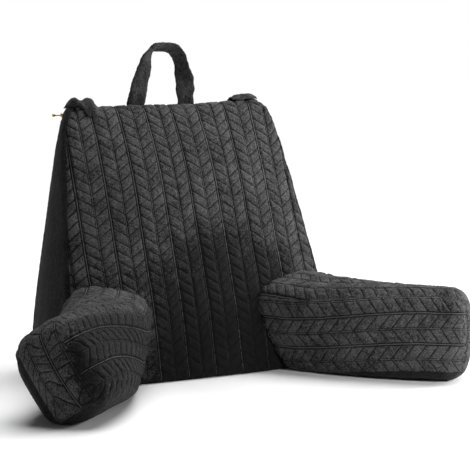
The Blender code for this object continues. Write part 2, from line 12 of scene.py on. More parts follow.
import bmesh
import bpy
import numpy as np
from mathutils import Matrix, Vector, noise
from mathutils.bvhtree import BVHTree


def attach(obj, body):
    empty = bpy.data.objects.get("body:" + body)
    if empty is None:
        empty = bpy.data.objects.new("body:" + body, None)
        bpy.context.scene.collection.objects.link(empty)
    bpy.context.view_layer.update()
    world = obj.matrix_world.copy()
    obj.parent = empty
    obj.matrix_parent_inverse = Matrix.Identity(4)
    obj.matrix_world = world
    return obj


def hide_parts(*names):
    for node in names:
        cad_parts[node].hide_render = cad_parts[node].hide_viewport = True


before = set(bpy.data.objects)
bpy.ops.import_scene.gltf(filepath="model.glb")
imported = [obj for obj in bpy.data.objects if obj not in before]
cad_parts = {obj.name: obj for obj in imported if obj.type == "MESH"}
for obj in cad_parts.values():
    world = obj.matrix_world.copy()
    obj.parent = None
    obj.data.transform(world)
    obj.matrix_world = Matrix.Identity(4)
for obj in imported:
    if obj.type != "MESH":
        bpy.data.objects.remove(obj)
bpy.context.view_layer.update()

# %% [markdown]
# Sizes that the cover is cut to
#
# The quilting is sewn into the flat cloth before the cover is made, so every leaf has
# the same size and its place is counted along the cloth: across it in x, and up the
# leaned face and over the rounded top. The same few sizes as in the solids give both.

# %% Sizes of the wedge and of its quilting
HEIGHT = 0.500
FRONT_Y_FLOOR = -0.160
FRONT_Y_TOP = 0.004
TOP_ROUND = 0.027
BACK_SEAM_Z = 0.470
BODY_CENTRE_X = 0.008
HALF_WIDTH_TOP = 0.212
HALF_WIDTH_GROWTH = 0.125
HALF_WIDTH_BOW = 0.009
SHOULDER_ROUND = 0.020
FRONT_CROWN = 0.024
FRONT_CROWN_POWER = 2.6

SPINE_PITCH = 0.056
SPINE_OFFSET = 0.010
LEAF_ROW = 0.0205
LEAF_RISE = 0.0195

LEAN = atan2(FRONT_Y_TOP - FRONT_Y_FLOOR, HEIGHT - TOP_ROUND)
FACE_LENGTH = (HEIGHT - TOP_ROUND * (1.0 - sin(LEAN))) / cos(LEAN)
ROUND_Y = FRONT_Y_FLOOR + FACE_LENGTH * sin(LEAN) + TOP_ROUND * cos(LEAN)
ROUND_Z = HEIGHT - TOP_ROUND
FRONT_LENGTH = FACE_LENGTH + TOP_ROUND * (radians(160) - LEAN)
print(f"the front cloth is {FRONT_LENGTH:.3f} m long and leans {LEAN * 57.3:.1f} degrees")


# %% Small helpers
def smooth(edge0, edge1, value):
    """Soft step from 0 at edge0 to 1 at edge1, for whole arrays."""
    t = np.clip((value - edge0) / (edge1 - edge0), 0.0, 1.0)
    return t * t * (3.0 - 2.0 * t)


def points_of(piece):
    """All the vertices of a piece as one array."""
    flat = np.empty(len(piece.data.vertices) * 3)
    piece.data.vertices.foreach_get("co", flat)
    return flat.reshape(-1, 3)


def place_points(piece, points):
    piece.data.vertices.foreach_set("co", points.ravel())
    piece.data.update()


def normals_of(piece):
    flat = np.empty(len(piece.data.vertices) * 3)
    piece.data.vertices.foreach_get("normal", flat)
    return flat.reshape(-1, 3)


def grain(points, size, seed):
    """Smooth noise from -1 to 1 with features of that size."""
    shift = Vector((seed * 3.1, seed * 1.7, seed * 2.3))
    return np.array([noise.noise(Vector(p) / size + shift) for p in points])


# %% [markdown]
# From solid to cushion
#
# A stuffed cushion is its sewn cover blown out by the filling. So each cushion starts
# as a copy of its solid, remeshed into even squares that can stretch, and is filled
# with a little air in a cloth simulation. The remesh wipes out the coarse quilting,
# which is pressed in again afterwards, much finer.

# %% Copy a solid and remesh it
def solid_copy(node, name):
    """A new piece with the node's mesh, its loose triangles joined."""
    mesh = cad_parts[node].data.copy()
    mesh.materials.clear()
    piece = bpy.data.objects.new(name, mesh)
    bpy.context.scene.collection.objects.link(piece)
    bm = bmesh.new()
    bm.from_mesh(mesh)
    bmesh.ops.remove_doubles(bm, verts=bm.verts, dist=1e-5)
    bm.to_mesh(mesh)
    bm.free()
    return piece


def settle(piece):
    """Put what the modifiers show into the mesh itself."""
    depsgraph = bpy.context.evaluated_depsgraph_get()
    mesh = bpy.data.meshes.new_from_object(piece.evaluated_get(depsgraph))
    piece.modifiers.clear()
    piece.data = mesh


def relax(piece, rounds):
    bm = bmesh.new()
    bm.from_mesh(piece.data)
    for _ in range(rounds):
        bmesh.ops.smooth_vert(bm, verts=bm.verts, factor=0.5, use_axis_x=True, use_axis_y=True, use_axis_z=True)
    bm.to_mesh(piece.data)
    bm.free()


def even_squares(piece, voxel, rounds):
    remesh = piece.modifiers.new("even squares", "REMESH")
    remesh.mode = "VOXEL"
    remesh.voxel_size = voxel
    settle(piece)
    relax(piece, rounds)
    print(piece.name, "has", len(piece.data.polygons), "squares of", voxel * 1000, "mm")


# %% Fill a cover with air
PRESSURE = 4.0
SIM_FRAMES = 20


SHARING_ROUNDS = 60


def shared_out(piece, values):
    """Even a value out between neighbouring points, so that no sharp fold is left."""
    ends = np.empty(len(piece.data.edges) * 2, dtype=np.int64)
    piece.data.edges.foreach_get("vertices", ends)
    first, second = ends[0::2], ends[1::2]
    count = len(values)
    neighbours = np.bincount(first, minlength=count) + np.bincount(second, minlength=count)
    for _ in range(SHARING_ROUNDS):
        sums = np.bincount(first, values[second], count) + np.bincount(second, values[first], count)
        values = (values + sums / np.maximum(neighbours, 1)) / 2.0
    return values


def fill_out(piece, start_in, cap, held, ease):
    """Swell a cover that starts start_in smaller, moving each point by up to cap.

    held is 1 where the cover can't move; ease is 1 in the middle of a panel and less
    along its seams, and scales both lengths.
    """
    rest = points_of(piece)
    outward = normals_of(piece)
    start = rest - outward * (start_in * ease * (1.0 - held))[:, None]
    place_points(piece, start)
    group = piece.vertex_groups.new(name="held")
    for index in np.nonzero(held > 0.01)[0]:
        group.add([int(index)], float(held[index]), "REPLACE")
    cloth = piece.modifiers.new("stuffing", "CLOTH")
    cloth.settings.use_pressure = True
    cloth.settings.uniform_pressure_force = PRESSURE
    cloth.settings.effector_weights.gravity = 0.0
    cloth.settings.vertex_group_mass = "held"
    for step in range(1, SIM_FRAMES + 1):
        bpy.context.scene.frame_set(step)
    settle(piece)
    piece.vertex_groups.clear()
    swelled = np.einsum("ij,ij->i", points_of(piece) - start, outward)
    gained = shared_out(piece, np.clip(swelled, 0.0, cap * ease))
    place_points(piece, start + outward * gained[:, None])
    print(piece.name, "swelled by", round(float(swelled.mean()) * 1000, 1), "mm before the cap")
    bpy.context.scene.frame_set(1)


# %% Split the squares finer where the quilting goes
def halve_squares(piece, chosen=None):
    """Smooth subdivision once, or an even split of the chosen faces only."""
    if chosen is None:
        finer = piece.modifiers.new("finer", "SUBSURF")
        finer.levels = 1
        finer.render_levels = 1
        settle(piece)
        return
    bm = bmesh.new()
    bm.from_mesh(piece.data)
    bm.faces.ensure_lookup_table()
    edges = {edge for index in np.nonzero(chosen)[0] for edge in bm.faces[int(index)].edges}
    bmesh.ops.subdivide_edges(bm, edges=list(edges), cuts=1, use_grid_fill=True, smooth=0.6)
    bm.to_mesh(piece.data)
    bm.free()


def face_means(piece, values):
    """Mean of a vertex value over each face."""
    starts = np.empty(len(piece.data.polygons), dtype=np.int64)
    counts = np.empty(len(piece.data.polygons), dtype=np.int64)
    corners = np.empty(len(piece.data.loops), dtype=np.int64)
    piece.data.polygons.foreach_get("loop_start", starts)
    piece.data.polygons.foreach_get("loop_total", counts)
    piece.data.loops.foreach_get("vertex_index", corners)
    sums = np.add.reduceat(values[corners], starts)
    return sums / counts, corners, counts


# %% [markdown]
# The plaited quilting
#
# The pattern is a plain plait: upright spines, and slanted leaves that fall away from
# every strong spine to a weaker line midway. Stitching pulls the cloth in along these
# lines and the wadding stands up between them. One function of the place on the cloth
# gives the depth, so it fits the wedge and both arms.

# %% Depth of the stitched lines
SPINE_DEPTH = 0.0030
LEAF_DEPTH = 0.0019
WEAK_DEPTH = 0.0019
RIB_HALF = 0.0020
WEAK_RIB_HALF = 0.0014
STITCH_REACH = 0.0014
PUFF_REACH = 0.0080
PUFF_DEPTH = 0.0008


def stitch_distances(across, along):
    """Distance to the nearest strong spine, weak line and leaf edge."""
    turns = (across - SPINE_OFFSET) / SPINE_PITCH
    phase = np.abs(turns - np.round(turns)) * 2.0
    row = (along + LEAF_RISE * phase) / LEAF_ROW
    leaf = np.abs(row - np.round(row)) * LEAF_ROW * cos(atan2(LEAF_RISE, SPINE_PITCH / 2.0))
    return phase * SPINE_PITCH / 2.0, (1.0 - phase) * SPINE_PITCH / 2.0, leaf


def quilt_depth(across, along):
    spine, weak, leaf = stitch_distances(across, along)
    beside_spine = np.abs(spine - RIB_HALF)
    beside_weak = np.abs(weak - WEAK_RIB_HALF)
    leaf = np.where(spine < RIB_HALF, LEAF_ROW, leaf)
    lines = (beside_spine, SPINE_DEPTH), (beside_weak, WEAK_DEPTH), (leaf, LEAF_DEPTH)
    sharp = np.max([depth * np.exp(-((away / STITCH_REACH) ** 2)) for away, depth in lines], axis=0)
    nearest = np.minimum(np.minimum(spine, weak), leaf)
    return sharp + PUFF_DEPTH * (1.0 - np.minimum(nearest / PUFF_REACH, 1.0)) ** 2


# %% Mark a piece with its place on the cloth
def attribute_of(piece, name):
    values = np.empty(len(piece.data.vertices))
    piece.data.attributes[name].data.foreach_get("value", values)
    return values


def mark_cloth(piece, across, along, quilted, by_face):
    """UV map of metres on the cloth, and how much of the quilting shows."""
    _, corners, counts = face_means(piece, quilted)
    uv = piece.data.uv_layers.new(name="cloth")
    repeated = np.repeat(by_face, counts)
    places = np.stack([np.choose(repeated, [a[corners] for a in across]),
                       np.choose(repeated, [a[corners] for a in along])], axis=1)
    uv.data.foreach_set("uv", places.ravel())
    shown = piece.data.attributes.new("quilted", "FLOAT", "POINT")
    shown.data.foreach_set("value", quilted)
    piece.data.polygons.foreach_set("use_smooth", [True] * len(piece.data.polygons))


# %% [markdown]
# The wedge
#
# The front cloth runs up the leaned face and over the rounded top to a seam behind.
# The sides and the back are plain cloth. Where a point lies is worked out from its
# place alone: how far it is behind the front face, and how far inside the side.

# %% Where a point of the wedge lies on the cloth
def half_width(z):
    bow = HALF_WIDTH_BOW * (1.0 - (2.0 * z / HEIGHT - 1.0) ** 4)
    return HALF_WIDTH_TOP + HALF_WIDTH_GROWTH * (HEIGHT - z) + bow


def wedge_place(points):
    """Length along the front cloth, depth behind it and depth inside the side."""
    x, y, z = points.T
    along = (y - FRONT_Y_FLOOR) * sin(LEAN) + z * cos(LEAN)
    behind = (y - FRONT_Y_FLOOR) * cos(LEAN) - z * sin(LEAN)
    turn = np.arctan2(z - ROUND_Z, ROUND_Y - y)
    over = along > FACE_LENGTH
    along = np.where(over, FACE_LENGTH + TOP_ROUND * (turn - LEAN), along)
    behind = np.where(over, TOP_ROUND - np.hypot(y - ROUND_Y, z - ROUND_Z), behind)
    over_shoulder = smooth(FACE_LENGTH - 1.5 * SHOULDER_ROUND, FRONT_LENGTH, along)
    width = half_width(np.minimum(z, HEIGHT)) - SHOULDER_ROUND * over_shoulder
    share = np.minimum(1.0, np.abs(x - BODY_CENTRE_X) / width)
    low = 0.55 + 0.45 * smooth(0.0, 0.16, along)
    high = 1.0 - smooth(FACE_LENGTH - 0.16, FACE_LENGTH + TOP_ROUND, along)
    crown = FRONT_CROWN * (1.0 - share ** FRONT_CROWN_POWER) * low * high
    return along, behind + crown * cos(LEAN), width - np.abs(x - BODY_CENTRE_X)


def wedge_quilted(points):
    """1 on the quilted front cloth, 0 on the plain sides, back and underside."""
    along, behind, inside = wedge_place(points)
    front = smooth(-0.002, 0.003, inside - behind)
    back = smooth(ROUND_Y, ROUND_Y + 0.010, points[:, 1]) * smooth(BACK_SEAM_Z + 0.004, BACK_SEAM_Z, points[:, 2])
    return front * (1.0 - back) * smooth(0.001, 0.004, points[:, 2]), along, inside - behind


# %% Make the wedge
WEDGE_VOXEL = 0.0095
START_IN = 0.004
WEDGE_CAP = 0.0075
SEAM_EASE = 0.35
SEAM_EASE_REACH = 0.05
SEAM_DEPTH = 0.0030
SEAM_REACH = 0.0045
EDGE_DEEPER = 2.0
EDGE_REACH = 0.025
PILE_HEIGHT = 0.0007
# Painted shade: a darker patch low in the middle of the front, centred and sized here.
PAINTED_SHADE_X = 0.060
PAINTED_SHADE_Z = 0.060
PAINTED_SHADE_WIDE = 0.260
PAINTED_SHADE_HIGH = 0.260
CORNER_REACH = 0.028
CORNER_SAG = 0.020


def press_in(piece, depth):
    place_points(piece, points_of(piece) - normals_of(piece) * depth[:, None])


def keep_flat(piece, thick=0.003):
    """Rest the underside on the floor."""
    points = points_of(piece)
    low = points[:, 2] < thick
    points[:, 2] = np.where(low, np.maximum(points[:, 2], 0.0), points[:, 2])
    place_points(piece, points)


def painted_shade_low_front(points):
    """1 low in the middle of the front, where painted shade darkens the colour."""
    x, _, z = points.T
    beyond = np.hypot((x - PAINTED_SHADE_X) / PAINTED_SHADE_WIDE, (z - PAINTED_SHADE_Z) / PAINTED_SHADE_HIGH)
    return 1.0 - smooth(0.35, 1.0, beyond)


def settle_filling(piece):
    """The filling sinks with use and pushes the lower back corners out."""
    points = points_of(piece)
    x, y, z = points.T
    sideways = smooth(0.35, 0.9, np.abs(x - BODY_CENTRE_X) / half_width(np.minimum(z, HEIGHT)))
    low = 1.0 - smooth(0.05, 0.42, z)
    points[:, 1] = y + CORNER_SAG * sideways * low * smooth(-0.05, 0.06, y)
    place_points(piece, points)


def make_wedge():
    wedge = solid_copy("backrest", "backrest_cushion")
    even_squares(wedge, WEDGE_VOXEL, 1)
    points = points_of(wedge)
    edge = wedge_quilted(points)[2]
    ease = SEAM_EASE + (1.0 - SEAM_EASE) * smooth(0.0, SEAM_EASE_REACH, np.abs(edge))
    fill_out(wedge, START_IN, WEDGE_CAP, 1.0 - smooth(0.004, 0.030, points[:, 2]), ease)
    settle_filling(wedge)
    halve_squares(wedge)
    quilted, _, _ = wedge_quilted(points_of(wedge))
    halve_squares(wedge, face_means(wedge, quilted)[0] > 0.02)
    points = points_of(wedge)
    quilted, along, edge = wedge_quilted(points)
    at_edge = 1.0 + EDGE_DEEPER * (1.0 - smooth(0.0, EDGE_REACH, np.abs(edge)))
    lines = quilt_depth(points[:, 0], along) * at_edge * quilted * smooth(0.004, 0.020, points[:, 2])
    near_back = np.exp(-(((points[:, 2] - BACK_SEAM_Z) / SEAM_REACH) ** 2)) * smooth(0.03, 0.05, points[:, 1])
    seam = np.maximum(np.exp(-((edge / SEAM_REACH) ** 2)), near_back) * smooth(0.01, 0.04, points[:, 2])
    pile = PILE_HEIGHT * grain(points, 0.005, 1)
    press_in(wedge, np.maximum(lines, SEAM_DEPTH * seam) + pile)
    keep_flat(wedge)
    on_face = np.zeros(len(wedge.data.polygons), dtype=int)
    mark_cloth(wedge, [points[:, 0]], [along], quilted, on_face)
    # Painted shade for the quilted material, darkest low in the middle of the front.
    painted_shade = wedge.data.attributes.new("painted_shade", "FLOAT", "POINT")
    painted_shade.data.foreach_set("value", painted_shade_low_front(points))
    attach(wedge, "root")
    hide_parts("backrest")
    return wedge


def surface_of(obj):
    """The object's surface, for finding the nearest point on it."""
    bm = bmesh.new()
    bm.from_mesh(obj.data)
    tree = BVHTree.FromBMesh(bm)
    bm.free()
    return tree


def meet_zip_pull(piece):
    """Let the filled corner stand out as far as the zip pull that hangs on it."""
    filled = surface_of(piece)
    ends = points_of(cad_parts["zip_slider"])
    hits = [filled.find_nearest(Vector(end)) for end in ends]
    closest = int(np.argmin([hit[3] for hit in hits]))
    place = np.array(hits[closest][0])
    points = points_of(piece)
    near = np.exp(-((np.linalg.norm(points - place, axis=1) / CORNER_REACH) ** 2))
    place_points(piece, points + near[:, None] * (ends[closest] - place))
    print("corner moved", round(hits[closest][3] * 1000, 1), "mm to meet the zip pull")


wedge = make_wedge()
meet_zip_pull(wedge)
print("wedge has", len(wedge.data.polygons), "faces")

# %% [markdown]
# The arms
#
# Each arm is a short bolster that swings outward. A quilted band runs along its top and
# down its rounded end, another quilted panel is its inner side, and its outer side and
# underside are plain. To know where a point lies, the arm's bent centre line is stepped
# along and the nearest step is taken.

# %% Sizes of the arms
ARM_HALF_WIDTH = 0.071
ARM_HALF_HEIGHT = 0.087
ARM_ROOT = np.array((0.214, -0.158, 0.084))
ARM_LENGTH = 0.276
ARM_START_TURN = radians(25.5)
ARM_END_TURN = radians(49)
ARM_NOSE = 0.044
ARM_NECK = 1.04
ARM_ROOT_SPREAD = 1.14
ROOT_ROLL = radians(-12)
ARM_ROLL = {-1: radians(33), 1: radians(8)}
ARM_SQUARENESS = 3.4
ARM_STEPS = 46


def arm_axis(side):
    """Points, headings and rolls along an arm, run on past both of its ends."""
    shares = np.linspace(0.0, 1.0, ARM_STEPS + 1)
    turn = ARM_START_TURN + (ARM_END_TURN - ARM_START_TURN) * smooth(0.0, 1.0, shares)
    heading = np.stack([side * np.sin(turn), -np.cos(turn), np.zeros_like(turn)], axis=1)
    middle = (heading[1:] + heading[:-1]) / 2.0
    centre = np.array((side * ARM_ROOT[0], ARM_ROOT[1], ARM_ROOT[2]))
    points = np.vstack([centre, centre + np.cumsum(middle * ARM_LENGTH / ARM_STEPS, axis=0)])
    roll = ROOT_ROLL + (ARM_ROLL[side] - ROOT_ROLL) * smooth(0.0, 0.9, shares)
    return points, heading, roll


def arm_place(points, side):
    """Length along the arm, and offsets inward and up in its rolled section."""
    axis, heading, roll = arm_axis(side)
    reach = np.einsum("ij,kj->ik", points, heading) - np.einsum("kj,kj->k", axis, heading)
    nearest = np.argmin(np.abs(reach), axis=1)
    rows = np.arange(len(points))
    along = nearest * ARM_LENGTH / ARM_STEPS + reach[rows, nearest]
    h = heading[nearest]
    inward = np.stack([h[:, 1], -h[:, 0], np.zeros(len(h))], axis=1) * side
    offset = points - axis[nearest]
    level = np.einsum("ij,ij->i", offset, inward)
    angle = roll[nearest]
    inner = level * np.cos(angle) + offset[:, 2] * np.sin(angle)
    up = -level * np.sin(angle) + offset[:, 2] * np.cos(angle)
    return along, inner, up


# %% Where a point of an arm lies on its cloth
BAND_SHARE = 0.88       # half the top band's width, as a share of half the arm's
END_BAND_SHARE = 0.60   # the same where the band runs down the end
UNDER_SHARE = 0.75      # how far down the quilting goes, as a share of half the height


def arm_cloth(points, side):
    """Places on the band and on the inner panel, which one it is, and masks."""
    along, inner, up = arm_place(points, side)
    share = np.clip(along / ARM_LENGTH, 0.0, 1.0)
    neck = 1.0 + (ARM_NECK - 1.0) * (1.0 - smooth(0.0, 0.75, share))
    spread = 1.0 + (ARM_ROOT_SPREAD - 1.0) * (1.0 - smooth(0.0, 0.6, share))
    half_width = ARM_HALF_WIDTH * neck * spread
    a = inner / half_width
    b = up / (ARM_HALF_HEIGHT * neck)
    past = np.clip(along - ARM_LENGTH, 0.0, ARM_NOSE * 0.999)
    nose = np.arcsin(past / ARM_NOSE) * ARM_NOSE
    on_end = smooth(0.25, 0.80, past / ARM_NOSE)
    half_band = half_width * (BAND_SHARE + (END_BAND_SHARE - BAND_SHARE) * on_end)
    outer_edge = inner + half_band
    inner_edge = (b - a) * half_width * cos(pi / 4.0) * (1.0 - on_end) + (half_band - inner) * on_end
    on_inner = (inner_edge < 0.0) & (a > 0.0)
    down = np.maximum(END_BAND_SHARE * ARM_HALF_HEIGHT - up, 0.0) * on_end
    band_along = np.minimum(along, ARM_LENGTH) + nose + down
    inner_along = np.minimum(along, ARM_LENGTH) + nose
    inner_across = ARM_HALF_WIDTH + ARM_HALF_HEIGHT - up
    shows = smooth(-0.001, 0.004, outer_edge) * smooth(-UNDER_SHARE - 0.1, -UNDER_SHARE, b)
    at_inner = np.exp(-((inner_edge / SEAM_REACH) ** 2)) * smooth(0.2, 0.4, a)
    at_outer = np.exp(-((outer_edge / SEAM_REACH) ** 2))
    seam = np.maximum(at_inner, at_outer) * smooth(-0.95, -0.7, b)
    return (inner, inner_across), (band_along, inner_along), on_inner, shows, seam


# %% Make the arms
ARM_VOXEL = 0.0065
ARM_START_IN = 0.002
ARM_CAP = 0.006
ARM_QUILT = 0.9
CRUMPLE_SIZE = 0.016
CRUMPLE_DEPTH = 0.0022
# Painted shade on each arm's inner side: dark on the left arm, none on the right.
INNER_PAINTED_SHADE = {-1: 0.75, 1: 0.0}


def crumpled(points, side):
    """1 at the inner corner of the nose and over the root, where the cloth is slack."""
    along, inner, _ = arm_place(points, side)
    corner = smooth(0.6, 0.9, along / ARM_LENGTH) * smooth(0.1, 0.6, inner / ARM_HALF_WIDTH)
    root = 1.0 - smooth(0.15, 0.65, along / ARM_LENGTH)
    return np.maximum(corner, 0.8 * root)


def make_arm(side, node):
    arm = solid_copy(node, node + "_cushion")
    even_squares(arm, ARM_VOXEL, 3)
    points = points_of(arm)
    along = arm_place(points, side)[0]
    held = np.maximum(1.0 - smooth(0.004, 0.030, points[:, 2]), 1.0 - smooth(0.0, 0.06, along))
    fill_out(arm, ARM_START_IN, ARM_CAP, held, np.ones(len(points)))
    halve_squares(arm)
    shows = arm_cloth(points_of(arm), side)[3]
    root = arm_place(points_of(arm), side)[0]
    halve_squares(arm, face_means(arm, shows * (root > 0.0))[0] > 0.02)
    points = points_of(arm)
    across, lengths, on_inner, shows, seam = arm_cloth(points, side)
    chosen_across = np.where(on_inner, across[1], across[0])
    chosen_along = np.where(on_inner, lengths[1], lengths[0])
    low = smooth(0.004, 0.020, points[:, 2])
    lines = ARM_QUILT * quilt_depth(chosen_across, chosen_along) * shows * low
    pile = PILE_HEIGHT * grain(points, 0.005, 2 + side)
    slack = CRUMPLE_DEPTH * crumpled(points, side) * grain(points * (1.0, 1.0, 2.2), CRUMPLE_SIZE, 8 + side) * low
    press_in(arm, np.maximum(lines, SEAM_DEPTH * seam * low) + pile + slack)
    keep_flat(arm)
    by_face = (face_means(arm, on_inner.astype(float))[0] > 0.5).astype(int)
    mark_cloth(arm, across, lengths, shows, by_face)
    # Painted shade on the inner side, stored for the quilted material to darken by.
    _, inner, up = arm_place(points, side)
    facing = smooth(0.35, 0.75, (inner - 0.4 * up) / ARM_HALF_WIDTH)
    painted_shade = arm.data.attributes.new("painted_shade", "FLOAT", "POINT")
    painted_shade.data.foreach_set("value", INNER_PAINTED_SHADE[side] * facing)
    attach(arm, "root")
    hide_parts(node)
    return arm


arm_left = make_arm(-1, "arm_left")
arm_right = make_arm(1, "arm_right")
print("arms have", len(arm_left.data.polygons), "and", len(arm_right.data.polygons), "faces")


# %% [markdown]
# Handle, strap ends and pocket
#
# These are flat folds of the plain cloth, too thin to remesh, so they keep the solid's
# shape and are smoothed and creased directly.

# %% Lay a strap on the filled cushion
def lie_on(piece, node, cushion):
    """Move a piece that lay on a solid so that it lies the same way on its cushion."""
    solid = surface_of(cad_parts[node])
    filled = surface_of(cushion)
    points = points_of(piece)
    for index, place in enumerate(points):
        below = solid.find_nearest(Vector(place))[0]
        points[index] += np.array(filled.find_nearest(below)[0] - below)
    place_points(piece, points)


# %% Smooth a strap and crease it
def make_strap(node, name, rounds, crease, seed, on=None, humps=(0, 0.0)):
    strap = solid_copy(node, name)
    if on:
        lie_on(strap, *on)
    for _ in range(rounds):
        halve_squares(strap)
    points = points_of(strap)
    folds = grain(points, 0.014, seed) * crease + grain(points, 0.005, seed + 1) * PILE_HEIGHT
    share = (points[:, 0] - points[:, 0].min()) / np.ptp(points[:, 0])
    upward = np.clip(normals_of(strap)[:, 2], 0.0, 1.0)
    press_in(strap, folds - humps[1] * upward * np.sin(pi * humps[0] * share) ** 2)
    quilted = np.zeros(len(strap.data.vertices))
    on_face = np.zeros(len(strap.data.polygons), dtype=int)
    mark_cloth(strap, [points[:, 0]], [points[:, 2]], quilted, on_face)
    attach(strap, "root")
    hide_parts(node)
    return strap


handle = make_strap("handle", "carry_handle", 2, 0.0024, 11)
tab_left = make_strap("strap_tab_left", "shoulder_tab_left", 2, 0.0020, 15, ("backrest", wedge), (2, 0.008))
tab_right = make_strap("strap_tab_right", "shoulder_tab_right", 2, 0.0016, 19, ("backrest", wedge), (1, 0.003))
pocket = make_strap("arm_pocket", "side_pocket", 2, 0.0006, 23, ("arm_left", arm_left))


# %% [markdown]
# Velour
#
# Velour is a knit with a short brushed pile. The pile scatters light at its tips, so it
# looks pale at grazing angles, and it lies in strokes that look lighter or darker. In
# the stitched lines the pile parts and a thin dark line shows, deepened by painted shade
# in the creases; the raised cords between paired lines carry a painted highlight.

# %% Node helper and colours
def linear(hex_colour):
    """Linear red, green and blue of an sRGB hex colour."""
    parts = [int(hex_colour[k:k + 2], 16) / 255.0 for k in (1, 3, 5)]
    return tuple(c / 12.92 if c <= 0.04045 else ((c + 0.055) / 1.055) ** 2.4 for c in parts) + (1.0,)


def add_node(tree, kind, settings=None, **inputs):
    """A node with its settings, and its inputs by number: a value or a link."""
    node = tree.nodes.new(kind)
    for key, value in (settings or {}).items():
        setattr(node, key, value)
    for key, value in inputs.items():
        socket = node.inputs[int(key[1:])]
        if isinstance(value, bpy.types.NodeSocket):
            tree.links.new(value, socket)
        else:
            socket.default_value = value
    return node


def maths(tree, operation, a, b=0.0, c=0.0):
    return add_node(tree, "ShaderNodeMath", {"operation": operation}, i0=a, i1=b, i2=c).outputs[0]


# %% Lines of the quilting, in the material
LINE_HALF = 0.0007


def line_mask(tree, distance, half=LINE_HALF):
    """1 on a line, 0 away from it."""
    ramp = add_node(tree, "ShaderNodeMapRange", {"interpolation_type": "SMOOTHSTEP"},
                    i0=distance, i1=0.0, i2=half * 2.0, i3=1.0, i4=0.0)
    return ramp.outputs[0]


def quilt_lines(tree):
    """Masks of the stitched lines at the strong spines, weak lines and leaf edges, dark for parted pile and
    painted crease shade, and of the cords between them, lightened as a painted highlight.
    """
    uv = add_node(tree, "ShaderNodeUVMap", {"uv_map": "cloth"})
    split = add_node(tree, "ShaderNodeSeparateXYZ", i0=uv.outputs[0])
    shifted = maths(tree, "SUBTRACT", split.outputs[0], SPINE_OFFSET)
    signed = maths(tree, "WRAP", shifted, SPINE_PITCH / 2.0, -SPINE_PITCH / 2.0)
    spine = maths(tree, "ABSOLUTE", signed)
    weak = maths(tree, "SUBTRACT", SPINE_PITCH / 2.0, spine)
    slanted = maths(tree, "MULTIPLY_ADD", spine, LEAF_RISE * 2.0 / SPINE_PITCH, split.outputs[1])
    leaf = maths(tree, "ABSOLUTE", maths(tree, "WRAP", slanted, LEAF_ROW / 2.0, -LEAF_ROW / 2.0))
    shown = add_node(tree, "ShaderNodeAttribute", {"attribute_name": "quilted"}).outputs[2]
    beside_spine = maths(tree, "ABSOLUTE", maths(tree, "SUBTRACT", spine, RIB_HALF))
    beside_weak = maths(tree, "ABSOLUTE", maths(tree, "SUBTRACT", weak, WEAK_RIB_HALF))
    weak_line = maths(tree, "MULTIPLY", line_mask(tree, beside_weak), 0.6)
    off_spine = maths(tree, "GREATER_THAN", spine, RIB_HALF)
    leaf_line = maths(tree, "MULTIPLY", line_mask(tree, leaf), off_spine)
    thin = maths(tree, "MAXIMUM", leaf_line, weak_line)
    parted_pile_and_painted_crease_shade = maths(tree, "MAXIMUM", thin, line_mask(tree, beside_spine))
    weak_cord_and_painted_highlight = maths(tree, "MULTIPLY", line_mask(tree, weak), 0.5)
    unbroken = maths(tree, "MULTIPLY_ADD", line_mask(tree, leaf, LINE_HALF * 2.0), -0.7, 1.0)
    raised_cord_and_painted_highlight = maths(tree, "MULTIPLY", maths(tree, "MAXIMUM", line_mask(tree, spine), weak_cord_and_painted_highlight), unbroken)
    return maths(tree, "MULTIPLY", parted_pile_and_painted_crease_shade, shown), maths(tree, "MULTIPLY", raised_cord_and_painted_highlight, shown)


# %% The velour itself
FIBRE_SIZE = 0.0026      # real fibres are 0.02 mm; tufts are drawn this coarse to show
TUFT_SIZE = 0.0070
STROKE_SIZE = 0.045


